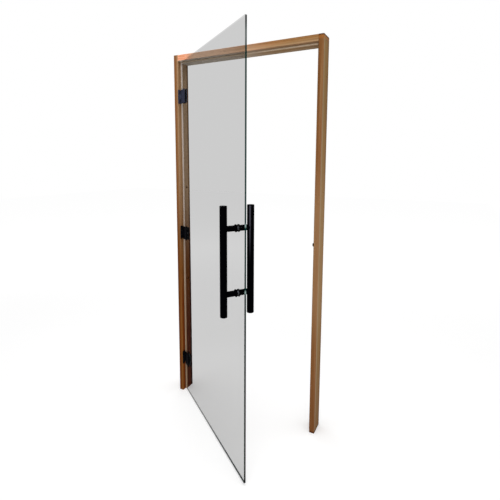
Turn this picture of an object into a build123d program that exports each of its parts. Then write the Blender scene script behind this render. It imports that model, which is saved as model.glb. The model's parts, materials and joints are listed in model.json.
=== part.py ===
from build123d import *
import os

# Frameless glass door in a three-sided timber frame, standing ajar, in millimetres.
# X runs across the doorway with the hinges at -X, Y runs from the front face of the frame
# towards the back, Z runs up from the floor. The door opens towards -Y.

# Timber frame
frame_width = 885.0
frame_height = 2040.0
frame_depth = 86.0
jamb_lip = 27.0
head_lip = 33.0
stop_projection = 9.0
rebate_depth = 25.0
timber_edge_radius = 2.0

# Screws that hold the head between the jambs
corner_screw_length = 90.0
corner_screw_radius = 2.5
corner_screw_head_radius = 5.0
corner_screw_depth_shares = (0.28, 0.72)

# Holes for the screws that fix the jambs to the wall
fixing_hole_radius = 4.0
fixing_counterbore_radius = 8.0
fixing_counterbore_depth = 10.0
fixing_low_height = 150.0
fixing_high_drop = 190.0
fixing_count = 4

# Seal on the stop that the glass closes on
seal_width = 7.0
seal_height = 2.0
seal_edge_gap = 0.5
seal_to_glass = 0.4

# Glass pane
glass_thickness = 8.0
hinge_side_gap = 5.0
strike_side_gap = 5.0
head_gap = 5.0
floor_gap = 10.0
glass_corner_radius = 4.0
glass_arris = 0.8

# Opening angle of the door in the drawn position, from closed
open_angle = 35.3

# Hinges
hinge_bottom_height = 220.0
hinge_top_drop = 232.0
hinge_height = 76.0
barrel_radius = 5.5
barrel_side_gap = 0.5
pivot_forward = 1.0
pin_radius = 3.0
pin_clearance = 0.05
pin_head_radius = 4.6
pin_head_height = 1.6
pin_head_chamfer = 0.6
glass_knuckle_length = 27.0
washer_thickness = 0.8
washer_play = 0.1
washer_bore_clearance = 0.1
knuckle_notch_gap = 0.5
leaf_thickness = 3.0
leaf_depth = 23.0
leaf_corner_radius = 4.0
leaf_screw_radius = 2.0
leaf_screw_head_radius = 4.0
leaf_screw_length = 26.0
leaf_screw_pitch = 26.0
leaf_screw_setback = 8.0

# Clamps of the hinges on the glass
clamp_width = 54.0
clamp_thickness = 5.0
clamp_offset = 9.0
clamp_edge_chamfer = 1.2
clamp_neck_reach = 6.0
gasket_thickness = 1.0
gasket_inset = 0.8
clamp_screw_pitch = 44.0
clamp_screw_radius = 3.0
clamp_screw_head_radius = 6.0
clamp_thread_cover = 1.2
clamp_socket_width_share = 0.9
clamp_socket_depth = 2.2
clamp_bush_wall = 2.5
bush_bore_clearance = 0.2
bush_glass_clearance = 0.3

# Pull handle
handle_edge_distance = 80.0
handle_height = 1011.0
bar_radius = 16.0
bar_length = 486.0
bar_wall = 1.5
bar_offset = 60.8
post_spacing = 288.0
post_radius = 13.0
saddle_clearance = 0.05
collar_radius = 17.0
collar_thickness = 4.5
collar_chamfer = 1.0
collar_bore_clearance = 0.3
handle_washer_thickness = 1.0
handle_washer_inset = 1.0
stud_radius = 4.0
stud_clearance = 0.05
stud_engagement = 20.0
stud_end_gap = 1.0
handle_bush_wall = 2.6
grub_radius = 2.5
grub_length = 6.5
grub_socket_radius = 1.4
grub_socket_depth = 2.5
grub_place_share = 0.5
cap_thickness = 3.0
cap_edge = 1.2
cap_edge_share = 0.35
cap_spigot_length = 9.0
cap_fit_clearance = 0.05

# Roller catch in the strike jamb
catch_height = 1022.0
roller_radius = 5.0
roller_height = 11.0
roller_overlap = 3.5
roller_to_glass = 0.7
roller_bore_clearance = 0.05
roller_end_gap = 0.4
roller_back_gap = 1.5
roller_pin_radius = 1.5
roller_pin_clearance = 0.01
catch_travel = 5.0
fork_arm_thickness = 2.0
fork_nose = 2.5
fork_ear = 1.1
fork_ear_gap = 0.3
fork_block_length = 5.0
fork_side_gap = 0.2
case_wall = 1.0
case_back_wall = 2.0
case_plate_thickness = 1.5
case_plate_margin = 1.7
case_plate_height = 46.0
case_plate_corner = 3.0
case_mortise_gap = 0.2
catch_screw_radius = 1.5
catch_screw_head_radius = 2.9
catch_screw_length = 14.0
catch_screw_pitch = 35.0
spring_length = 10.0
spring_radius = 3.6
spring_wire_width = 0.9
spring_wire_depth = 1.2
spring_pitch = 2.6
spring_end_gap = 0.1

# Screws in general
screw_fit = 0.1
screw_tip_share = 1.6
drive_width_share = 0.7
drive_depth_share = 0.45
cut_overrun = 1.0

# Positions that follow from the sizes above
hinge_outer_x = -frame_width / 2
strike_outer_x = frame_width / 2
hinge_reveal_x = hinge_outer_x + jamb_lip
strike_reveal_x = strike_outer_x - jamb_lip
hinge_stop_x = hinge_reveal_x + stop_projection
strike_stop_x = strike_reveal_x - stop_projection
head_rebate_z = frame_height - head_lip
head_stop_z = head_rebate_z - stop_projection

glass_left = hinge_reveal_x + hinge_side_gap
glass_right = strike_reveal_x - strike_side_gap
glass_bottom = floor_gap
glass_top = head_rebate_z - head_gap
glass_back = rebate_depth - seal_height - seal_to_glass
glass_front = glass_back - glass_thickness

pivot_x = hinge_reveal_x + barrel_radius + barrel_side_gap
pivot_y = -pivot_forward
hinge_top_height = frame_height - hinge_top_drop
hinge_middle_height = (hinge_bottom_height + hinge_top_height) / 2
hinge_heights = {"top": hinge_top_height, "middle": hinge_middle_height, "bottom": hinge_bottom_height}


# Block between two corners
def block(x0, x1, y0, y1, z0, z1):
    middle = ((x0 + x1) / 2, (y0 + y1) / 2, (z0 + z1) / 2)
    return Pos(*middle) * Box(abs(x1 - x0), abs(y1 - y0), abs(z1 - z0))


# Round rod between two points
def rod(radius, start, end):
    run = Vector(*end) - Vector(*start)
    lie = Plane(origin=start, z_dir=run)
    return lie * Cylinder(radius, run.length, align=(Align.CENTER, Align.CENTER, Align.MIN))


# Tube between two points
def tube(radius, bore, start, end):
    return rod(radius, start, end) - rod(bore, start, end)


# Body turned about Z from its half outline, given as (radius, height) points
def turned(*points):
    outline = make_face(Polyline(*points, close=True))
    return revolve(Plane.XZ * outline, Axis.Z)


# Countersunk wood screw, its flat head at the seat and its point along -Z of the seat
def wood_screw(seat, radius, head_radius, length):
    tip = radius * screw_tip_share
    body = turned(
        (0, 0), (head_radius, 0), (radius, radius - head_radius), (radius, tip - length), (0, -length)
    )
    drive = drive_width_share * head_radius
    sink = drive_depth_share * head_radius
    recess = block(-drive / 2, drive / 2, -drive / 2, drive / 2, -sink, cut_overrun)
    return seat * (body - recess)


# Hole that takes such a screw
def wood_screw_hole(seat, radius, head_radius, length):
    core = radius + screw_fit
    rim = head_radius + screw_fit
    tip = radius * screw_tip_share
    body = turned(
        (0, cut_overrun), (rim, cut_overrun), (rim, 0), (core, core - rim), (core, tip - length), (0, -length - screw_fit)
    )
    return seat * body


# Several like solids kept as one piece
def group(solids):
    return Compound(children=[Solid(s.solid().wrapped) for s in solids])


# Turn a door piece from closed to the drawn position
def ajar(shape):
    return shape.rotate(Axis((pivot_x, pivot_y, 0), (0, 0, 1)), -open_angle)


parts = {}

# Jambs: a rebated profile with eased edges, running the full height
jamb_outline = make_face(
    Polyline(
        (hinge_outer_x, 0),
        (hinge_reveal_x, 0),
        (hinge_reveal_x, rebate_depth),
        (hinge_stop_x, rebate_depth),
        (hinge_stop_x, frame_depth),
        (hinge_outer_x, frame_depth),
        close=True,
    )
)
jamb_inner_corner = Vector(hinge_reveal_x, rebate_depth, 0)
jamb_eased = [v for v in jamb_outline.vertices() if (Vector(v) - jamb_inner_corner).length > timber_edge_radius]
jamb_outline = fillet(jamb_eased, timber_edge_radius)
jamb_blank = extrude(jamb_outline, frame_height)

# Wall fixing holes through the thick part of a jamb, counterbored on the doorway side
fixing_y = (rebate_depth + frame_depth) / 2
fixing_high_height = frame_height - fixing_high_drop
fixing_step = (fixing_high_height - fixing_low_height) / (fixing_count - 1)
for i in range(fixing_count):
    fixing_z = fixing_low_height + i * fixing_step
    wall_end = (hinge_outer_x - cut_overrun, fixing_y, fixing_z)
    door_end = (hinge_stop_x + cut_overrun, fixing_y, fixing_z)
    sink_end = (hinge_stop_x - fixing_counterbore_depth, fixing_y, fixing_z)
    jamb_blank -= rod(fixing_hole_radius, wall_end, door_end)
    jamb_blank -= rod(fixing_counterbore_radius, sink_end, door_end)

hinge_jamb = jamb_blank
strike_jamb = mirror(jamb_blank, about=Plane.YZ)

# Head: the same rebate, set between the jambs with its ends cut round their stops
head_outline = make_face(
    Polyline(
        (0, head_rebate_z),
        (rebate_depth, head_rebate_z),
        (rebate_depth, head_stop_z),
        (frame_depth, head_stop_z),
        (frame_depth, frame_height),
        (0, frame_height),
        close=True,
    )
)
head_inner_corner = Vector(rebate_depth, head_rebate_z, 0)
head_eased = [v for v in head_outline.vertices() if (Vector(v) - head_inner_corner).length > timber_edge_radius]
head_outline = fillet(head_eased, timber_edge_radius)
head_plane = Plane(origin=(hinge_reveal_x, 0, 0), x_dir=(0, 1, 0), z_dir=(1, 0, 0))
head = extrude(head_plane * head_outline, strike_reveal_x - hinge_reveal_x, dir=(1, 0, 0))
for reveal_x, stop_x in ((hinge_reveal_x, hinge_stop_x), (strike_reveal_x, strike_stop_x)):
    head -= block(
        reveal_x,
        stop_x,
        rebate_depth,
        frame_depth + cut_overrun,
        head_stop_z - cut_overrun,
        frame_height + cut_overrun,
    )

# Screws through the jambs into the ends of the head
corner_screws = []
corner_z = (head_stop_z + frame_height) / 2
for corner_x, outward in ((hinge_outer_x, -1), (strike_outer_x, 1)):
    for share in corner_screw_depth_shares:
        corner_y = rebate_depth + share * (frame_depth - rebate_depth)
        seat = Plane(origin=(corner_x, corner_y, corner_z), z_dir=(outward, 0, 0))
        sizes = (corner_screw_radius, corner_screw_head_radius, corner_screw_length)
        corner_screws.append(wood_screw(seat, *sizes))
        hole = wood_screw_hole(seat, *sizes)
        head -= hole
        if outward < 0:
            hinge_jamb -= hole
        else:
            strike_jamb -= hole
parts["corner_screws"] = group(corner_screws)

# Seals: a domed strip on the front of each stop, butted at the corners
hinge_seal_x0 = hinge_reveal_x + seal_edge_gap
hinge_seal_x1 = hinge_seal_x0 + seal_width
seal_crest_y = rebate_depth - seal_height
seal_outline = make_face(
    [
        Line((hinge_seal_x0, rebate_depth), (hinge_seal_x1, rebate_depth)),
        ThreePointArc(
            (hinge_seal_x1, rebate_depth),
            ((hinge_seal_x0 + hinge_seal_x1) / 2, seal_crest_y),
            (hinge_seal_x0, rebate_depth),
        ),
    ]
)
seal_top_z = head_rebate_z - seal_edge_gap
seal_hinge_jamb = extrude(seal_outline, seal_top_z, dir=(0, 0, 1))
parts["seal_hinge_jamb"] = seal_hinge_jamb
parts["seal_strike_jamb"] = mirror(seal_hinge_jamb, about=Plane.YZ)

head_seal_x0 = hinge_seal_x1 + seal_edge_gap
head_seal_outline = make_face(
    [
        Line((rebate_depth, seal_top_z - seal_width), (rebate_depth, seal_top_z)),
        ThreePointArc(
            (rebate_depth, seal_top_z),
            (seal_crest_y, seal_top_z - seal_width / 2),
            (rebate_depth, seal_top_z - seal_width),
        ),
    ]
)
head_seal_plane = Plane(origin=(head_seal_x0, 0, 0), x_dir=(0, 1, 0), z_dir=(1, 0, 0))
parts["seal_head"] = extrude(head_seal_plane * head_seal_outline, -2 * head_seal_x0, dir=(1, 0, 0))

# Glass pane, drawn closed: rounded corners and ground arrises
glass_plane = Plane(
    origin=((glass_left + glass_right) / 2, glass_front, (glass_bottom + glass_top) / 2),
    x_dir=(1, 0, 0),
    z_dir=(0, -1, 0),
)
glass_outline = RectangleRounded(glass_right - glass_left, glass_top - glass_bottom, glass_corner_radius)
glass_pane = extrude(glass_plane * glass_outline, glass_thickness, dir=(0, 1, 0))
glass_faces = glass_pane.faces().sort_by(Axis.Y)
glass_pane = chamfer(glass_faces[0].edges() + glass_faces[-1].edges(), glass_arris)

# Hinges: leaf on the reveal with two knuckles, pin, washers, clamp with the middle knuckle
leaf_face_x = hinge_reveal_x + leaf_thickness
leaf_back_y = pivot_y + leaf_depth
leaf_screw_y = leaf_back_y - leaf_screw_setback
knuckle_half = glass_knuckle_length / 2
notch_half = knuckle_half + washer_play + washer_thickness
clamp_left = glass_left + clamp_offset
clamp_right = clamp_left + clamp_width
clamp_back = glass_front - gasket_thickness
clamp_front = clamp_back - clamp_thickness
backplate_front = glass_back + gasket_thickness
backplate_back = backplate_front + clamp_thickness
clamp_screw_x = (clamp_left + clamp_right) / 2
clamp_bush_bore = clamp_screw_radius + bush_bore_clearance
clamp_bush_radius = clamp_bush_bore + clamp_bush_wall

leaf_screws = []
washers = []
clamp_screws = []
clamp_bushes = []
for name, hinge_z in hinge_heights.items():
    low_z = hinge_z - hinge_height / 2
    high_z = hinge_z + hinge_height / 2

    # Leaf on the jamb
    leaf = block(hinge_reveal_x, leaf_face_x, pivot_y, leaf_back_y, low_z, high_z)
    leaf_corners = leaf.edges().filter_by(Axis.X).sort_by(Axis.Y)[-2:]
    leaf = fillet(leaf_corners, leaf_corner_radius)
    leaf += rod(barrel_radius, (pivot_x, pivot_y, low_z), (pivot_x, pivot_y, high_z))
    leaf -= block(
        hinge_reveal_x - cut_overrun,
        pivot_x + barrel_radius + cut_overrun,
        pivot_y - barrel_radius - cut_overrun,
        pivot_y + barrel_radius + knuckle_notch_gap,
        hinge_z - notch_half,
        hinge_z + notch_half,
    )
    leaf -= rod(
        pin_radius + pin_clearance,
        (pivot_x, pivot_y, low_z - cut_overrun),
        (pivot_x, pivot_y, high_z + cut_overrun),
    )
    for step in (-1, 0, 1):
        seat = Plane(origin=(leaf_face_x, leaf_screw_y, hinge_z + step * leaf_screw_pitch), z_dir=(1, 0, 0))
        sizes = (leaf_screw_radius, leaf_screw_head_radius, leaf_screw_length)
        hole = wood_screw_hole(seat, *sizes)
        leaf -= hole
        hinge_jamb -= hole
        leaf_screws.append(wood_screw(seat, *sizes))
    parts["hinge_leaf_" + name] = leaf

    # Pin with a low turned head
    pin_profile = turned(
        (0, low_z),
        (pin_radius, low_z),
        (pin_radius, high_z),
        (pin_head_radius, high_z),
        (pin_head_radius, high_z + pin_head_height - pin_head_chamfer),
        (pin_head_radius - pin_head_chamfer, high_z + pin_head_height),
        (0, high_z + pin_head_height),
    )
    parts["hinge_pin_" + name] = Pos(pivot_x, pivot_y, 0) * pin_profile

    # Bearing washers on the inner ends of the leaf's knuckles
    for end in (-1, 1):
        outer_end = (pivot_x, pivot_y, hinge_z + end * notch_half)
        inner_end = (pivot_x, pivot_y, hinge_z + end * (notch_half - washer_thickness))
        washers.append(tube(barrel_radius, pin_radius + washer_bore_clearance, outer_end, inner_end))

    # Clamp on the front of the glass, its neck running to the middle knuckle
    clamp = block(clamp_left, clamp_right, clamp_front, clamp_back, low_z, high_z)
    clamp = chamfer(clamp.faces().sort_by(Axis.Y)[0].edges(), clamp_edge_chamfer)
    neck_end = clamp_left + clamp_neck_reach
    neck_outline = make_hull(
        [
            Pos(pivot_x, pivot_y) * Edge.make_circle(barrel_radius),
            Line((clamp_left, clamp_back), (neck_end, clamp_back)).edge(),
            Line((neck_end, clamp_back), (neck_end, clamp_front + clamp_edge_chamfer)).edge(),
        ]
    )
    neck = extrude(Pos(0, 0, hinge_z - knuckle_half) * neck_outline, glass_knuckle_length, dir=(0, 0, 1))
    clamp += neck
    clamp -= rod(
        pin_radius + pin_clearance,
        (pivot_x, pivot_y, low_z),
        (pivot_x, pivot_y, high_z),
    )

    # Back plate and gaskets
    backplate = block(clamp_left, clamp_right, backplate_front, backplate_back, low_z, high_z)
    backplate = chamfer(backplate.faces().sort_by(Axis.Y)[-1].edges(), clamp_edge_chamfer)
    gasket_x0 = clamp_left + gasket_inset
    gasket_x1 = clamp_right - gasket_inset
    gasket_z0 = low_z + gasket_inset
    gasket_z1 = high_z - gasket_inset
    gasket_outer = block(gasket_x0, gasket_x1, clamp_back, glass_front, gasket_z0, gasket_z1)
    gasket_inner = block(gasket_x0, gasket_x1, glass_back, backplate_front, gasket_z0, gasket_z1)

    # Clamp screws from the back, with bushes in the glass
    thread_end_y = clamp_front + clamp_thread_cover
    for end in (-1, 1):
        screw_z = hinge_z + end * clamp_screw_pitch / 2
        seat = Plane(origin=(clamp_screw_x, backplate_back, screw_z), z_dir=(0, 1, 0))
        reach = backplate_back - thread_end_y
        crown = clamp_screw_head_radius
        core = clamp_screw_radius
        bolt = turned((0, 0), (crown, 0), (core, core - crown), (core, screw_fit - reach), (0, screw_fit - reach))
        socket = RegularPolygon(core * clamp_socket_width_share, 6)
        bolt -= extrude(socket, -clamp_socket_depth)
        clamp_screws.append(seat * bolt)
        rim = crown + screw_fit
        wide = core + screw_fit
        bolt_hole = seat * turned(
            (0, cut_overrun), (rim, cut_overrun), (rim, 0), (wide, wide - rim), (wide, -reach), (0, -reach)
        )
        clamp -= bolt_hole
        backplate -= bolt_hole
        gasket_outer -= bolt_hole
        gasket_inner -= bolt_hole
        bush_front = (clamp_screw_x, glass_front, screw_z)
        bush_back = (clamp_screw_x, glass_back, screw_z)
        clamp_bushes.append(tube(clamp_bush_radius, clamp_bush_bore, bush_front, bush_back))
        glass_pane -= rod(
            clamp_bush_radius + bush_glass_clearance,
            (clamp_screw_x, glass_front - cut_overrun, screw_z),
            (clamp_screw_x, glass_back + cut_overrun, screw_z),
        )
    parts["hinge_clamp_" + name] = ajar(clamp)
    parts["hinge_backplate_" + name] = ajar(backplate)
    parts["hinge_gasket_outer_" + name] = ajar(gasket_outer)
    parts["hinge_gasket_inner_" + name] = ajar(gasket_inner)
parts["hinge_leaf_screws"] = group(leaf_screws)
parts["hinge_washers"] = group(washers)
parts["hinge_clamp_screws"] = group([ajar(s) for s in clamp_screws])
parts["hinge_bushes"] = group([ajar(s) for s in clamp_bushes])

# Pull handle: the same bar, posts and collars on both faces of the glass
handle_x = glass_right - handle_edge_distance
bar_low = handle_height - bar_length / 2
bar_high = handle_height + bar_length / 2
handle_bush_bore = stud_radius + bush_bore_clearance
handle_bush_radius = handle_bush_bore + handle_bush_wall
post_heights = {"upper": handle_height + post_spacing / 2, "lower": handle_height - post_spacing / 2}
collar_reach = handle_washer_thickness + collar_thickness
stud_reach = collar_reach + stud_engagement - stud_end_gap

grub_screws = []
handle_washers = []
for side_name, side, face_y in (("outer", -1, glass_front), ("inner", 1, glass_back)):
    bar_y = face_y + side * bar_offset
    washer_y = face_y + side * handle_washer_thickness
    collar_y = face_y + side * collar_reach

    # Tubular bar and its two end caps
    bar = tube(
        bar_radius,
        bar_radius - bar_wall,
        (handle_x, bar_y, bar_low + cap_thickness),
        (handle_x, bar_y, bar_high - cap_thickness),
    )
    parts["pull_bar_" + side_name] = ajar(bar)
    cap_bore = bar_radius - bar_wall - cap_fit_clearance
    cap = turned(
        (0, -cap_spigot_length),
        (cap_bore, -cap_spigot_length),
        (cap_bore, 0),
        (bar_radius, 0),
        (bar_radius, cap_thickness - cap_edge),
        (bar_radius - cap_edge * cap_edge_share, cap_thickness - cap_edge * cap_edge_share),
        (bar_radius - cap_edge, cap_thickness),
        (0, cap_thickness),
    )
    top_cap = Pos(handle_x, bar_y, bar_high - cap_thickness) * cap
    foot_cap = Pos(handle_x, bar_y, bar_low + cap_thickness) * mirror(cap, about=Plane.XY)
    parts["bar_cap_upper_" + side_name] = ajar(top_cap)
    parts["bar_cap_lower_" + side_name] = ajar(foot_cap)

    for post_name, post_z in post_heights.items():
        # Post with one end cut to the round of the bar and a bore for the stud at the other
        post = rod(post_radius, (handle_x, collar_y, post_z), (handle_x, bar_y, post_z))
        post -= rod(
            bar_radius + saddle_clearance,
            (handle_x, bar_y, post_z - post_radius - cut_overrun),
            (handle_x, bar_y, post_z + post_radius + cut_overrun),
        )
        post -= rod(
            stud_radius + stud_clearance,
            (handle_x, collar_y - side * cut_overrun, post_z),
            (handle_x, collar_y + side * stud_engagement, post_z),
        )
        grub_y = collar_y + side * stud_engagement * grub_place_share
        grub_top = post_z - stud_radius - stud_clearance
        grub_foot = grub_top - grub_length
        post -= rod(
            grub_radius + stud_clearance,
            (handle_x, grub_y, post_z),
            (handle_x, grub_y, post_z - post_radius - cut_overrun),
        )
        parts["handle_post_" + post_name + "_" + side_name] = ajar(post)

        # Grub screw that locks the post on the stud
        grub = rod(grub_radius, (handle_x, grub_y, grub_foot), (handle_x, grub_y, grub_top))
        grub_socket = Pos(handle_x, grub_y, grub_foot) * RegularPolygon(grub_socket_radius, 6)
        grub -= extrude(grub_socket, grub_socket_depth, dir=(0, 0, 1))
        grub_screws.append(ajar(grub))

        # Collar and the washer between it and the glass
        collar = rod(collar_radius, (handle_x, washer_y, post_z), (handle_x, collar_y, post_z))
        collar_rim = collar.faces().sort_by(Axis.Y)[0 if side < 0 else -1].edges()
        collar = chamfer(collar_rim, collar_chamfer)
        collar -= rod(
            stud_radius + collar_bore_clearance,
            (handle_x, washer_y - side * cut_overrun, post_z),
            (handle_x, collar_y + side * cut_overrun, post_z),
        )
        parts["handle_collar_" + post_name + "_" + side_name] = ajar(collar)
        washer = tube(
            collar_radius - handle_washer_inset,
            stud_radius + collar_bore_clearance,
            (handle_x, face_y, post_z),
            (handle_x, washer_y, post_z),
        )
        handle_washers.append(ajar(washer))
parts["handle_grub_screws"] = group(grub_screws)
parts["handle_washers"] = group(handle_washers)

# Studs through the glass, each in a bush
handle_bushes = []
for post_name, post_z in post_heights.items():
    stud = rod(
        stud_radius,
        (handle_x, glass_front - stud_reach, post_z),
        (handle_x, glass_back + stud_reach, post_z),
    )
    parts["handle_stud_" + post_name] = ajar(stud)
    bush_front = (handle_x, glass_front, post_z)
    bush_back = (handle_x, glass_back, post_z)
    handle_bushes.append(ajar(tube(handle_bush_radius, handle_bush_bore, bush_front, bush_back)))
    glass_pane -= rod(
        handle_bush_radius + bush_glass_clearance,
        (handle_x, glass_front - cut_overrun, post_z),
        (handle_x, glass_back + cut_overrun, post_z),
    )
parts["handle_bushes"] = group(handle_bushes)
parts["glass_pane"] = ajar(glass_pane)

# Roller catch: the sprung roller stands in the reveal just in front of the closed glass
catch_z = catch_height
catch_y = glass_front - roller_to_glass - roller_radius
roller_x = glass_right - roller_overlap + roller_radius
plate_front_x = strike_reveal_x
plate_back_x = plate_front_x + case_plate_thickness
arm_inner = roller_height / 2 + roller_end_gap
arm_outer = arm_inner + fork_arm_thickness
ear_outer = arm_outer + fork_ear
fork_front_x = roller_x - fork_nose
slot_end_x = roller_x + roller_radius + roller_back_gap
ear_front_x = plate_back_x + fork_ear_gap
fork_back_x = slot_end_x + fork_block_length
cavity_end_x = fork_back_x + spring_length
case_end_x = cavity_end_x + case_back_wall
fork_half = roller_radius + fork_side_gap
cavity_half = fork_half + fork_side_gap
case_half = cavity_half + case_wall
cavity_half_z = ear_outer + fork_side_gap
case_half_z = cavity_half_z + case_wall
mouth_half_z = arm_outer + fork_side_gap
plate_half = case_half + case_plate_margin
plate_half_z = case_plate_height / 2

# Fork that carries the roller; its ears stop behind the face plate
fork = block(fork_front_x, fork_back_x, catch_y - fork_half, catch_y + fork_half, catch_z - arm_outer, catch_z + arm_outer)
fork += block(ear_front_x, fork_back_x, catch_y - fork_half, catch_y + fork_half, catch_z - ear_outer, catch_z + ear_outer)
fork -= block(
    fork_front_x - cut_overrun,
    slot_end_x,
    catch_y - fork_half - cut_overrun,
    catch_y + fork_half + cut_overrun,
    catch_z - arm_inner,
    catch_z + arm_inner,
)
fork -= rod(
    roller_pin_radius + roller_pin_clearance,
    (roller_x, catch_y, catch_z - arm_outer - cut_overrun),
    (roller_x, catch_y, catch_z + arm_outer + cut_overrun),
)
parts["catch_fork"] = fork
parts["catch_roller"] = tube(
    roller_radius,
    roller_pin_radius + roller_bore_clearance,
    (roller_x, catch_y, catch_z - roller_height / 2),
    (roller_x, catch_y, catch_z + roller_height / 2),
)
parts["catch_roller_pin"] = rod(
    roller_pin_radius,
    (roller_x, catch_y, catch_z - arm_outer),
    (roller_x, catch_y, catch_z + arm_outer),
)

# Case with its face plate let in flush with the reveal
plate_plane = Plane(origin=(plate_front_x, catch_y, catch_z), x_dir=(0, 1, 0), z_dir=(1, 0, 0))
case = extrude(plate_plane * RectangleRounded(2 * plate_half, 2 * plate_half_z, case_plate_corner), case_plate_thickness)
case += block(plate_back_x, case_end_x, catch_y - case_half, catch_y + case_half, catch_z - case_half_z, catch_z + case_half_z)
case -= block(
    plate_back_x, cavity_end_x, catch_y - cavity_half, catch_y + cavity_half, catch_z - cavity_half_z, catch_z + cavity_half_z
)
case -= block(
    plate_front_x - cut_overrun,
    plate_back_x + cut_overrun,
    catch_y - cavity_half,
    catch_y + cavity_half,
    catch_z - mouth_half_z,
    catch_z + mouth_half_z,
)
recess_outline = RectangleRounded(
    2 * (plate_half + case_mortise_gap), 2 * (plate_half_z + case_mortise_gap), case_plate_corner + case_mortise_gap
)
recess_plane = Plane(origin=(plate_front_x - cut_overrun, catch_y, catch_z), x_dir=(0, 1, 0), z_dir=(1, 0, 0))
strike_jamb -= extrude(recess_plane * recess_outline, case_plate_thickness + cut_overrun)
strike_jamb -= block(
    plate_front_x,
    case_end_x + case_mortise_gap,
    catch_y - case_half - case_mortise_gap,
    catch_y + case_half + case_mortise_gap,
    catch_z - case_half_z - case_mortise_gap,
    catch_z + case_half_z + case_mortise_gap,
)
catch_screws = []
for end in (-1, 1):
    seat = Plane(origin=(plate_front_x, catch_y, catch_z + end * catch_screw_pitch / 2), z_dir=(-1, 0, 0))
    sizes = (catch_screw_radius, catch_screw_head_radius, catch_screw_length)
    hole = wood_screw_hole(seat, *sizes)
    case -= hole
    strike_jamb -= hole
    catch_screws.append(wood_screw(seat, *sizes))
parts["catch_case"] = case
parts["catch_screws"] = group(catch_screws)

# Spring of flat wire, coiled between the fork and the back of the case
coil_length = spring_length - spring_wire_width - 2 * spring_end_gap
coil_middle = spring_radius - spring_wire_depth / 2
coil_path = Helix(spring_pitch, coil_length, coil_middle)
coil_start = Plane(origin=coil_path @ 0, x_dir=(1, 0, 0), z_dir=coil_path % 0)
coil = sweep(coil_start * Rectangle(spring_wire_depth, spring_wire_width), path=coil_path, is_frenet=True)
coil_plane = Plane(
    origin=(fork_back_x + spring_end_gap + spring_wire_width / 2, catch_y, catch_z), z_dir=(1, 0, 0)
)
parts["catch_spring"] = coil_plane * coil

parts["hinge_jamb"] = hinge_jamb
parts["strike_jamb"] = strike_jamb
parts["head"] = head

os.makedirs("parts", exist_ok=True)
for node, shape in parts.items():
    export_step(shape, "parts/" + node + ".step")
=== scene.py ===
import json
import math

import bpy
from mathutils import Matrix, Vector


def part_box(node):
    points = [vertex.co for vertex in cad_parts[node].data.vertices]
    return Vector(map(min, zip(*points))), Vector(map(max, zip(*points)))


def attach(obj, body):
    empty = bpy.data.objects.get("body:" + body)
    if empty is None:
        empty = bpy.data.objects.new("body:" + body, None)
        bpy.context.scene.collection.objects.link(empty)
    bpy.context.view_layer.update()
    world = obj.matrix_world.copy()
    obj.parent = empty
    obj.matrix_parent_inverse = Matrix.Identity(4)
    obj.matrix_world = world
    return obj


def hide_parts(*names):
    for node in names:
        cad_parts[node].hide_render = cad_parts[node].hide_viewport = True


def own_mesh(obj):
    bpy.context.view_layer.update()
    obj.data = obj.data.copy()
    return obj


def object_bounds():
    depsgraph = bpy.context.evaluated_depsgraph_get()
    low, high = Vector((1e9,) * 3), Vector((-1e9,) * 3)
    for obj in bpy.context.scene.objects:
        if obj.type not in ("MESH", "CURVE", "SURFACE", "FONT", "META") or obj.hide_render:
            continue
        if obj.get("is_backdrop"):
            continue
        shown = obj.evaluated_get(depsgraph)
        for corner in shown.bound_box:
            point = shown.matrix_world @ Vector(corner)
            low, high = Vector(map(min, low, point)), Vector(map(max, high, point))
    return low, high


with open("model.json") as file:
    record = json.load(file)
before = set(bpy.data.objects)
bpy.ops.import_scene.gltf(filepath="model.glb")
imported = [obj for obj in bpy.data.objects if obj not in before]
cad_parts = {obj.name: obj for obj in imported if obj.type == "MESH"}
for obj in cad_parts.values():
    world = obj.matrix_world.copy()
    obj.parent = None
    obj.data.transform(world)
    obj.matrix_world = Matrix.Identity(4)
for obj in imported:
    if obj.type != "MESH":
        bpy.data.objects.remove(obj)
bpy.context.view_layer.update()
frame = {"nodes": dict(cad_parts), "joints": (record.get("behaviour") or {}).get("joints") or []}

node = frame["nodes"]


# The two jambs and the head: straight-grained cedar, planed, rebated and eased along the edges, then oiled.
# The jambs run from the floor to the top, and the head stands between them, screwed through the jambs.
# Each is sawn from another part of the log, so the rings, streaks and tone differ from piece to piece.
class Field:
    """A value that varies over a surface. Sums and products of fields add Math nodes."""

    def __init__(self, finish, socket):
        self.finish = finish
        self.socket = socket

    def math(self, operation, first, second):
        return self.finish.node("ShaderNodeMath", {"operation": operation}, {0: first, 1: second})

    def __add__(self, other):
        return self.math("ADD", self, other)

    def __radd__(self, other):
        return self.math("ADD", other, self)

    def __sub__(self, other):
        return self.math("SUBTRACT", self, other)

    def __rsub__(self, other):
        return self.math("SUBTRACT", other, self)

    def __mul__(self, other):
        return self.math("MULTIPLY", self, other)

    def __rmul__(self, other):
        return self.math("MULTIPLY", other, self)

    def __truediv__(self, other):
        return self.math("DIVIDE", self, other)

    def __pow__(self, other):
        return self.math("POWER", self, other)


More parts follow.
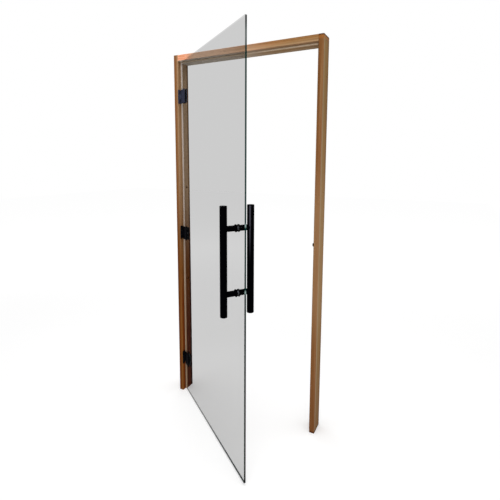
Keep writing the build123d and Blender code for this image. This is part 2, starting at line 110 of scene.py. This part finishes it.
class Finish:
    """A material, or the world, as nodes round one shader."""

    def __init__(self, name, owner=None):
        self.material = owner or bpy.data.materials.new(name)
        self.material.use_nodes = True
        self.tree = self.material.node_tree
        self.shader = self.tree.nodes["Background" if owner else "Principled BSDF"]

    def fill(self, sockets, values):
        for key, value in values.items():
            if isinstance(value, Field):
                self.tree.links.new(value.socket, sockets[key])
            else:
                sockets[key].default_value = value

    def node(self, kind, settings, values, output=0):
        """One node. Its settings go first, then the values or links of its sockets."""
        made = self.tree.nodes.new(kind)
        for key, value in settings.items():
            if key == "stops":
                stops = made.color_ramp.elements
                while len(stops) < len(value):
                    stops.new(1.0)
                for stop, (position, colour) in zip(stops, value):
                    stop.position = position
                    stop.color = colour
            else:
                setattr(made, key, value)
        self.fill(made.inputs, values)
        return Field(self, made.outputs[output])

    def place(self):
        """Position on the piece in metres, along X, Y and Z."""
        spot = self.node("ShaderNodeTexCoord", {}, {}, "Object")
        return [self.node("ShaderNodeSeparateXYZ", {}, {0: spot}, axis) for axis in "XYZ"]

    def vector(self, x, y, z):
        return self.node("ShaderNodeCombineXYZ", {}, {0: x, 1: y, 2: z})

    def noise(self, spot, detail, roughness=0.55):
        values = {"Vector": spot, "Scale": 1.0, "Detail": detail, "Roughness": roughness}
        return self.node("ShaderNodeTexNoise", {}, values, "Fac")

    def speckle(self, spot, grains, detail):
        """Noise with about so many grains to the metre, alike along X, Y and Z."""
        x, y, z = spot
        return self.noise(self.vector(x * grains, y * grains, z * grains), detail)

    def step(self, value, low, high):
        """0 below low, 1 above high, and smooth between."""
        values = {"Value": value, "From Min": low, "From Max": high}
        return self.node("ShaderNodeMapRange", {"interpolation_type": "SMOOTHSTEP"}, values)

    def mix(self, share, first, second, blend="MIX"):
        settings = {"data_type": "RGBA", "blend_type": blend, "clamp_result": True}
        return self.node("ShaderNodeMix", settings, {0: share, 6: first, 7: second}, 2)

    def stain(self, share, colour, stain):
        """A colour darkened by a clear stain, for that share."""
        return self.mix(share, colour, stain, "MULTIPLY")

    def bump(self, height, strength, distance):
        values = {"Height": height, "Strength": strength, "Distance": distance}
        return self.node("ShaderNodeBump", {}, values)

    def sight(self):
        """1 for what the camera sees, straight, mirrored or through glass, and 0 for light that bounces."""
        ways = [
            self.node("ShaderNodeLightPath", {}, {}, way)
            for way in ("Is Camera Ray", "Is Glossy Ray", "Is Transmission Ray")
        ]
        return self.node("ShaderNodeClamp", {}, {0: ways[0] + ways[1] + ways[2]})

    def dress(self, sockets, *names):
        """Set the shader's sockets, and give the finish to these pieces."""
        self.fill(self.shader.inputs, sockets)
        for name in names:
            slots = node[name].data.materials
            slots.clear()
            slots.append(self.material)


def tint(red, green, blue):
    """A colour given as it looks on a screen, 0 to 255."""
    levels = []
    for level in (red / 255, green / 255, blue / 255):
        levels.append(level / 12.92 if level <= 0.04045 else ((level + 0.055) / 1.055) ** 2.4)
    return (*levels, 1.0)


def cedar(name, grain, heart, tones, seed):
    """Sawn cedar. grain is the axis it grew along, heart the middle of the log across that axis, and tones
    give the colour of the wood by its distance from the heart in millimetres."""
    drift_depth = 0.006
    ring_width = 0.0031
    streaks_per_metre = 260.0
    fibres_per_metre = 1500.0
    flecks_per_metre = 700.0
    wood = Finish(name)
    x, y, z = wood.place()
    across, deep, along = (x, y, z) if grain == "Z" else (y, z, x)
    across = across - heart[0]
    deep = deep - heart[1]

    def strands(count, length):
        return wood.vector(across * count, deep * count, along * length + seed)

    drift = wood.noise(strands(6.0, 1.1), 2.0) - 0.5
    radius = (across * across + deep * deep) ** 0.5 + drift * drift_depth
    first = tones[0][0] / 1000
    reach = tones[-1][0] / 1000 - first
    stops = [((distance / 1000 - first) / reach, colour) for distance, colour in tones]
    board = wood.node("ShaderNodeValToRGB", {"stops": stops}, {"Fac": (radius - first) / reach})
    streaks = wood.noise(wood.vector(radius * streaks_per_metre, seed, along * 1.3), 2.0, 0.6)
    board = wood.mix(wood.step(streaks, 0.5, 0.8) * 0.35, board, tint(196, 160, 122))
    board = wood.mix(wood.step(0.5 - streaks, 0.0, 0.3) * 0.45, board, tint(84, 48, 18))
    age = wood.node("ShaderNodeMath", {"operation": "FRACT"}, {0: radius / ring_width})
    late = wood.step(age, 0.3, 0.9) * (1 - wood.step(age, 0.92, 1.0))
    fibre = wood.noise(strands(fibres_per_metre, 20.0), 2.0)
    flecks = wood.step(wood.noise(strands(flecks_per_metre, 9.0), 1.0), 0.62, 0.74)
    board = wood.mix(late * 0.3, board, tint(84, 46, 16))
    board = wood.mix(fibre * 0.4, board, tint(200, 176, 146), "SOFT_LIGHT")
    board = wood.mix(flecks * 0.3, board, tint(66, 36, 14))
    return wood, board, radius, (x, y, z), (fibre, late, flecks)


def oiled(wood, board, figure, name):
    """Thin satin oil, under which the grain can still be felt."""
    fibre, late, flecks = figure
    sockets = {
        "Base Color": board,
        "Roughness": 0.5 + fibre * 0.16 - late * 0.06,
        "Normal": wood.bump(fibre * 0.35 + late * 0.5 - flecks * 0.8, 0.25, 0.0004),
        "Specular IOR Level": 0.04,
    }
    wood.dress(sockets, name)


# Hinge jamb: the dark heartwood of the three. Shade is painted into it, darker towards the floor up to waist
# height, deepest on the stop's inner side and the side of the rebate, and along the stop's back edge.
tones = [
    (77, tint(116, 70, 30)),
    (84, tint(132, 88, 50)),
    (92, tint(140, 106, 74)),
    (98, tint(166, 136, 106)),
    (104, tint(160, 128, 94)),
    (111, tint(146, 114, 82)),
    (126, tint(158, 136, 112)),
    (152, tint(168, 144, 118)),
    (165, tint(114, 94, 72)),
]
wood, board, radius, (x, y, z), figure = cedar("cedar_hinge_jamb", "Z", (-0.50, -0.05), tones, 1.7)
low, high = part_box("hinge_jamb")
from_wall = x - low[0]
from_back = high[1] - y
# Painted shade: these masks darken the jamb towards the floor, on the stop's inner side and the rebate's
# side.
painted_low_shade = 1 - wood.step(z, 0.75, 1.35)
painted_foot_shade = 1 - wood.step(z, 0.3, 0.8)
painted_rebate_shade = 1 - wood.step(z, 0.5, 0.9)
stop = wood.step(radius, 0.108, 0.116)
rebate_side = wood.step(radius, 0.097, 0.101) * (1 - stop)
inner_side = stop * wood.step(from_wall, 0.0065, 0.0125) * wood.step(from_back, 0.0, 0.003)
back_edge = inner_side * (1 - wood.step(from_back, 0.010, 0.022))
# Painted shade, applied as multiplied colours.
board = wood.stain(painted_low_shade * (1 - inner_side), board, tint(206, 170, 111))
board = wood.stain(painted_low_shade * inner_side, board, tint(166, 112, 52))
board = wood.stain(painted_foot_shade * inner_side, board, tint(200, 156, 120))
board = wood.stain(painted_rebate_shade * rebate_side, board, tint(237, 182, 80))
board = wood.stain(back_edge, board, tint(200, 185, 168))
board = wood.stain(back_edge * painted_low_shade, board, tint(170, 120, 100))
oiled(wood, board, figure, "hinge_jamb")


# Strike jamb: paler, with a grey streak down the middle of its face. It is warmest at waist height, darker
# towards the foot and darkest just above the floor, and its top end is dark, where the end grain takes up
# more oil.
tones = [
    (132, tint(104, 66, 30)),
    (142, tint(128, 86, 50)),
    (153, tint(136, 94, 58)),
    (157, tint(154, 128, 98)),
    (164, tint(160, 138, 106)),
    (174, tint(146, 116, 70)),
    (192, tint(142, 108, 58)),
    (214, tint(134, 100, 50)),
    (230, tint(104, 74, 32)),
]
wood, board, radius, (x, y, z), figure = cedar("cedar_strike_jamb", "Z", (0.36, -0.13), tones, 6.2)
from_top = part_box("strike_jamb")[1][2] - z
warm = wood.step(z, 0.45, 0.75) * (1 - wood.step(z, 1.15, 1.5))
upper_part = wood.step(z, 1.5, 1.75)
top_band = 1 - wood.step(from_top, 0.016, 0.026)
top_end = 1 - wood.step(from_top, 0.002, 0.010)
lower_part = 1 - wood.step(z, 0.0, 0.5)
foot_end = 1 - wood.step(z, 0.003, 0.014)
board = wood.mix(warm * 0.3, board, tint(178, 144, 106))
board = wood.stain(upper_part, board, tint(236, 236, 228))
board = wood.mix(top_band * 0.6, board, tint(150, 92, 40))
board = wood.mix(top_end * 0.85, board, tint(60, 30, 10))
board = wood.mix(lower_part * 0.4, board, tint(96, 48, 14))
board = wood.mix(foot_end * 0.7, board, tint(56, 26, 8))
oiled(wood, board, figure, "strike_jamb")


# Head: the lightest board, with a reddish orange highlight painted on its face at the end by the hinges.
# Warmer wood fades out along the face, and the stop below it stays grey.
tones = [
    (126, tint(118, 84, 46)),
    (131, tint(140, 100, 58)),
    (141, tint(144, 110, 70)),
    (147, tint(174, 144, 108)),
    (151, tint(146, 116, 86)),
    (160, tint(136, 108, 80)),
    (172, tint(168, 144, 116)),
    (184, tint(128, 96, 54)),
    (206, tint(150, 126, 94)),
    (222, tint(120, 100, 76)),
]
wood, board, radius, (x, y, z), figure = cedar("cedar_head", "X", (-0.09, 2.13), tones, 3.9)
face = 1 - wood.step(radius, 0.150, 0.155)
hinge_end = 1 - wood.step(x, -0.2, 0.2)
# Painted highlight: the face at the hinge end is coloured as if a warm light shone on it.
painted_highlight = (1 - wood.step(x, -0.365, -0.295)) * face
highlight_mottle = wood.noise(wood.vector(x * 26.0, y * 60.0, z * 160.0), 2.0)
highlight_colour = wood.mix(wood.step(highlight_mottle, 0.42, 0.6), tint(220, 140, 102), tint(240, 172, 138))
warmth = wood.noise(wood.vector(x * 3.0, y * 20.0, z * 60.0), 2.0)
warmth = wood.step(warmth, 0.4, 0.65) * (1 - wood.step(x, 0.05, 0.3))
board = wood.mix(painted_highlight * 0.95, board, highlight_colour)
board = wood.mix(warmth * face * 0.5, board, tint(206, 146, 110))
board = wood.mix(hinge_end * (face - painted_highlight) * 0.7, board, tint(208, 176, 152))
board = wood.mix(hinge_end * (1 - face) * 0.7, board, tint(196, 188, 176))
oiled(wood, board, figure, "head")


# Corner screws: wood screws driven through the jambs into the ends of the head, to hold the frame together.
# They are steel with a brown finish, so that their heads sink into the timber.
brown = Finish("browned_steel")
bloom = brown.speckle(brown.place(), 300.0, 4.0)
sockets = {
    "Base Color": brown.mix(bloom, tint(58, 40, 24), tint(96, 70, 44)),
    "Metallic": 0.6,
    "Roughness": 0.4 + bloom * 0.2,
}
brown.dress(sockets, "corner_screws")


# Bright steel inside the fittings: clamp screws, studs, grub screws, the catch's pin and its spring.
# All are zinc plated, and have gone slightly dull.
zinc = Finish("zinc_plate")
bloom = zinc.speckle(zinc.place(), 240.0, 4.0)
sockets = {
    "Base Color": zinc.mix(bloom, tint(150, 152, 156), tint(196, 196, 192)),
    "Metallic": 1.0,
    "Roughness": 0.28 + bloom * 0.2,
}
zinc.dress(sockets, "hinge_clamp_screws", "handle_grub_screws", "handle_stud_upper", "handle_stud_lower")
zinc.dress(sockets, "catch_spring", "catch_roller_pin")


# Catch spring: a coil of rectangular wire between the fork and the end of its bore, of the same steel.
joint = {row["name"]: row for row in frame["joints"]}
low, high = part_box("catch_spring")
coil = bpy.data.objects.new("catch_spring_coil", node["catch_spring"].data.copy())
bpy.context.scene.collection.objects.link(coil)
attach(coil, "frame")
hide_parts("catch_spring")
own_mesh(coil)


# Seals: a domed strip of beige foam rubber glued along the front of each stop, where the glass closes.
# The strip on the hinge side is browner, most of all halfway up, and dust lies in the cells of the foam.
seal = Finish("foam_seal")
x, y, z = seal.place()
cells = seal.speckle((x, y, z), 900.0, 2.0)
dust = seal.speckle((x, y, z), 22.0, 3.0)
hinge_side = 1 - seal.step(x, -0.41, -0.40)
darkened = 0.35 + seal.step(z, 0.8, 1.1) * 0.25 - seal.step(z, 1.3, 1.6) * 0.4
colour = seal.mix(dust, tint(186, 164, 138), tint(216, 198, 174))
colour = seal.mix(cells * 0.25, colour, tint(140, 120, 98))
colour = seal.mix(hinge_side * darkened, colour, tint(120, 88, 56))
sockets = {"Base Color": colour, "Roughness": 0.75 + cells * 0.2, "Normal": seal.bump(cells, 0.3, 0.0003)}
seal.dress(sockets, "seal_hinge_jamb", "seal_strike_jamb", "seal_head")


# Hinges: cast leaves, screwed to the side of the rebate, and cast clamps, bolted through the glass, on pins.
# All have a fine matt black powder coat, with a blue-grey sheen painted on the top hinge, where light from
# above falls on it, and plain black from the middle hinge down.
# The case, fork and screws of the catch have the same coat.
coat = Finish("hinge_powder_coat")
x, y, z = coat.place()
grit = coat.speckle((x, y, z), 1800.0, 2.0)
cloud = coat.speckle((x, y, z), 60.0, 3.0)
top_hinge_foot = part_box("hinge_leaf_top")[0][2]
below_painted_sheen = coat.step(top_hinge_foot - z, 0.02, 0.62)
# Painted sheen: the top hinge is coloured blue-grey as if lit from above; everything lower is black.
colour = coat.mix(cloud, tint(38, 41, 55), tint(56, 58, 75))
colour = coat.mix(below_painted_sheen * 0.97, colour, tint(2, 2, 3))
sockets = {
    "Base Color": colour,
    "Roughness": 0.5 + grit * 0.2,
    "Normal": coat.bump(grit, 0.25, 0.0002),
    "Specular IOR Level": 0.01,
}
coat.dress(sockets, "hinge_leaf_screws", "catch_case", "catch_fork", "catch_screws")
for piece in ("hinge_leaf_", "hinge_pin_", "hinge_clamp_", "hinge_backplate_"):
    coat.dress(sockets, piece + "top", piece + "middle", piece + "bottom")


# Plastics in the fittings: black acetal for the washers between the knuckles and for the bushes in the hinge
# holes, pale grey nylon for the bushes of the handle, light enough to show as a painted highlight between
# the collars. All are turned, and keep metal off metal and glass.
for shade, dark, light, names in (
    ("black_acetal", tint(8, 8, 9), tint(18, 18, 20), ("hinge_washers", "hinge_bushes")),
    # The pale grey of the nylon stands in for a highlight at the collars.
    ("grey_nylon_highlight", tint(158, 164, 176), tint(184, 190, 202), ("handle_bushes",)),
):
    plastic = Finish(shade)
    haze = plastic.speckle(plastic.place(), 300.0, 3.0)
    plastic.dress({"Base Color": plastic.mix(haze, dark, light), "Roughness": 0.4 + haze * 0.15}, *names)


# Gaskets: thin sheet rubber, punched to shape, between clamps and glass and under the collars of the handle.
# It is black, and dusty with talc.
rubber = Finish("gasket_rubber")
talc = rubber.speckle(rubber.place(), 500.0, 3.0)
sockets = {
    "Base Color": rubber.mix(talc, tint(14, 14, 15), tint(34, 34, 35)),
    "Roughness": 0.7 + talc * 0.2,
    "Normal": rubber.bump(talc, 0.2, 0.0002),
}
rubber.dress(sockets, "handle_washers")
for piece in ("hinge_gasket_outer_", "hinge_gasket_inner_"):
    rubber.dress(sockets, piece + "top", piece + "middle", piece + "bottom")


# Glass pane: 8 mm toughened float, lightly grey, with flat polished edges. The body tint shows as dark green
# along the free edge, where one looks deep into the glass. Painted shade darkens that edge towards the foot,
# a painted pale reflection crosses it near the top, and the edge in the hinge rebate is painted pale as if
# lit.
# The handle's drilled holes send two glints to the free edge.
pivot_x, pivot_y = joint["door_swing"]["pos_m"][:2]
door_angle = math.radians(-joint["door_swing"]["range_deg"][0])
glint_heights = (1.177, 0.893)
glint_half = 0.013
body_alpha = 0.223


def along_door(x, y):
    """How far a place lies from the hinge pins, along the door."""
    return (x - pivot_x) * math.cos(door_angle) - (y - pivot_y) * math.sin(door_angle)


def rim(inset, fade=0.0006):
    """1 on an edge of the pane and 0 just inside it, by the distance from that edge."""
    return 1 - pane.step(inset, 0.0001, fade)


pane = Finish("grey_glass")
x, y, z = pane.place()
low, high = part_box("glass_pane")
spans = [along_door(corner.co.x, corner.co.y) for corner in node["glass_pane"].data.vertices]
from_free_edge = max(spans) - along_door(x, y)
from_hinge_edge = along_door(x, y) - min(spans)
outward = 1 - pane.step(from_free_edge, 0.0, 0.77)
free_edge = rim(from_free_edge, 0.0007)
beside_free_edge = (1 - pane.step(from_free_edge, 0.0015, 0.004)) * (1 - free_edge)
hinge_edge = rim(from_hinge_edge)
foot_edge = rim(z - low[2]) * (1 - free_edge)
top_edge = rim(high[2] - z) * (1 - free_edge)
film = pane.noise(pane.vector(x * 3.0, y * 3.0, z * 2.0), 2.0)
# Painted shade and reflection: the free edge is painted darker towards the foot, with a pale reflection near
# the top.
edge_colour = pane.mix(pane.step(z, 0.1, 1.4), tint(0, 4, 3), tint(0, 44, 39))
painted_pale_reflection = pane.step(z, 1.86, 1.92) * (1 - pane.step(z, 1.93, 1.985))
edge_colour = pane.mix(painted_pale_reflection * 0.8, edge_colour, tint(84, 90, 90))
edge_colour = pane.mix(pane.step(z, 1.94, 1.985), edge_colour, tint(2, 14, 12))
for height in glint_heights:
    glint = pane.step(z, height - glint_half, height) * (1 - pane.step(z, height, height + glint_half))
    edge_colour = pane.mix(glint * 0.8, edge_colour, tint(150, 172, 168))
# Painted light: the edge in the hinge rebate is painted pale, paler higher up, as light through the glass
# shows it.
painted_rebate_light = pane.mix(pane.step(z, 0.3, 1.5), tint(170, 138, 108), tint(214, 202, 194))
colour = pane.mix(film, tint(6, 8, 8), tint(12, 14, 14))
colour = pane.mix(free_edge, colour, edge_colour)
colour = pane.mix(hinge_edge, colour, painted_rebate_light)
colour = pane.mix(foot_edge, colour, tint(14, 34, 34))
alpha = body_alpha + free_edge * 0.75 + hinge_edge * 0.6
alpha = alpha + beside_free_edge * (0.55 - pane.step(z, 0.6, 1.3) * 0.35)
alpha = alpha + foot_edge * (0.4 + outward * 0.3) - top_edge * 0.1
sockets = {
    "Base Color": colour,
    "Roughness": 0.02 + film * 0.02 + free_edge * 0.1,
    "Alpha": alpha,
    "IOR": 1.06,
    "Specular IOR Level": 0.03,
}
pane.dress(sockets, "glass_pane")


# Pull handle: tubular bars with pressed-in caps, turned posts and collars, all in satin black powder coat.
# A narrow grey highlight is painted on the upper half of the inner bar, on the side towards the front.
towards_front = (0.296, -0.955)
low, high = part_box("pull_bar_inner")
bar_x = (low[0] + high[0]) / 2
bar_y = (low[1] + high[1]) / 2
bar_radius = (high[0] - low[0]) / 2
fittings = ["pull_bar_outer"]
for piece in ("bar_cap_", "handle_post_", "handle_collar_"):
    fittings += [piece + end for end in ("upper_outer", "upper_inner", "lower_outer", "lower_inner")]
for shade, names in (("handle_powder_coat", fittings), ("handle_powder_coat_highlight", ["pull_bar_inner"])):
    satin = Finish(shade)
    x, y, z = satin.place()
    peel = satin.speckle((x, y, z), 900.0, 2.0)
    hands = satin.noise(satin.vector(x * 18.0, y * 18.0, z * 9.0), 3.0)
    colour = satin.mix(hands, tint(0, 0, 1), tint(2, 2, 4))
    if shade == "handle_powder_coat_highlight":
        # Painted highlight: a narrow grey band on the upper half of the inner bar, facing the front.
        facing = ((x - bar_x) * towards_front[0] + (y - bar_y) * towards_front[1]) / bar_radius
        painted_highlight_band = satin.step(facing, 0.95, 1.0) * satin.step(z, 0.98, 1.25)
        colour = satin.mix(painted_highlight_band, colour, tint(76, 75, 84))
    sockets = {
        "Base Color": colour,
        "Roughness": 0.3 + hands * 0.16,
        "Normal": satin.bump(peel, 0.12, 0.0002),
        "Specular IOR Level": 0.005,
    }
    satin.dress(sockets, *names)


# Catch roller: turned from black plastic, and free to spin on its pin between the arms of the fork.
# The glass runs over it each time the door closes, so it is smooth.
roller = Finish("roller_plastic")
x, y, z = roller.place()
grain = roller.noise(roller.vector(x * 1200.0, y * 1200.0, z * 400.0), 2.0)
sockets = {
    "Base Color": roller.mix(grain, tint(6, 6, 7), tint(16, 16, 18)),
    "Roughness": 0.35 + grain * 0.2,
    "Specular IOR Level": 0.05,
}
roller.dress(sockets, "catch_roller")


# Studio: a plain pale floor that takes the contact shadows, and a white surround. Where the lights leave the
# floor dimmer, a faint glow that only the camera sees brings it up to the same white.
half = 14.0
corners = [(-half, -half, 0.0), (half, -half, 0.0), (half, half, 0.0), (-half, half, 0.0)]
floor_mesh = bpy.data.meshes.new("studio_floor")
floor_mesh.from_pydata(corners, [], [(0, 1, 2, 3)])
floor = bpy.data.objects.new("studio_floor", floor_mesh)
bpy.context.scene.collection.objects.link(floor)
floor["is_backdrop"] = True
brightest_x, brightest_y = 0.53, -1.59
pale = Finish("pale_floor")
x, y, z = pale.place()
from_x = x - brightest_x
from_y = y - brightest_y
away = (from_x * from_x + from_y * from_y) ** 0.5
under_door = 1 - pale.step((x * x + y * y) ** 0.5, 0.3, 1.1)
behind_box = pale.step(0 - y, 2.9, 3.9) * (1 - pale.step(0 - y, 5.0, 8.0))
beside_box = pale.step(x, 2.2, 3.2) * (1 - pale.step(x, 4.5, 7.0))
glow = 0.085 + pale.step(away, 0.5, 2.9) * 0.11 + pale.step(away, 2.1, 6.3) * 0.305
glow = (glow + under_door * 0.08 + behind_box * 0.16 + beside_box * 0.07) * pale.sight()
sockets = {
    "Base Color": tint(233, 233, 233),
    "Roughness": 0.9,
    "Specular IOR Level": 0.0,
    "Emission Color": pale.vector(glow, glow, glow),
    "Emission Strength": 1.0,
}
pale.dress(sockets)
floor_mesh.materials.append(pale.material)
bpy.context.scene.world = bpy.data.worlds.new("studio")
surround = Finish("studio", bpy.context.scene.world)
surround.dress({"Color": (1.0, 1.0, 1.0, 1.0), "Strength": 0.6 + surround.sight() * 0.4})


# Lights: a large soft box at chest height, in front and to the right of the door, and another overhead.
# Both are white, and a surface shows about its own colour under them.
upright = (math.radians(88.0), 0.0, math.radians(21.0))
for name, width, height, power, location, turn in (
    ("soft_box", 2.6, 2.0, 31.0, (1.3, -3.4, 1.2), upright),
    ("ceiling_box", 3.0, 3.0, 85.0, (0.2, -0.6, 3.6), (0.0, 0.0, 0.0)),
):
    lamp = bpy.data.lights.new(name, "AREA")
    lamp.shape = "RECTANGLE"
    lamp.size = width
    lamp.size_y = height
    lamp.energy = power
    light = bpy.data.objects.new(name, lamp)
    light.location = location
    light.rotation_euler = turn
    bpy.context.scene.collection.objects.link(light)


# Camera: in front and to the right of the doorway, at the height of a shoulder, with a wide lens.
# The picture is shifted a little, so that the top and the foot of the open door are both in it.
lens = bpy.data.cameras.new("camera")
lens.sensor_width = 36.0
lens.lens = 27.532
lens.shift_x = -0.00456
lens.shift_y = -0.08356
camera = bpy.data.objects.new("camera", lens)
camera.location = (0.9981, -1.8266, 1.43761)
camera.rotation_euler = [math.radians(angle) for angle in (83.086, -0.27, 27.022)]
bpy.context.scene.collection.objects.link(camera)
bpy.context.scene.camera = camera
bpy.context.scene.view_settings.view_transform = "Standard"


# Size of the part after dressing, in metres. The dressing adds no shape to the solids.
low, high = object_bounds()
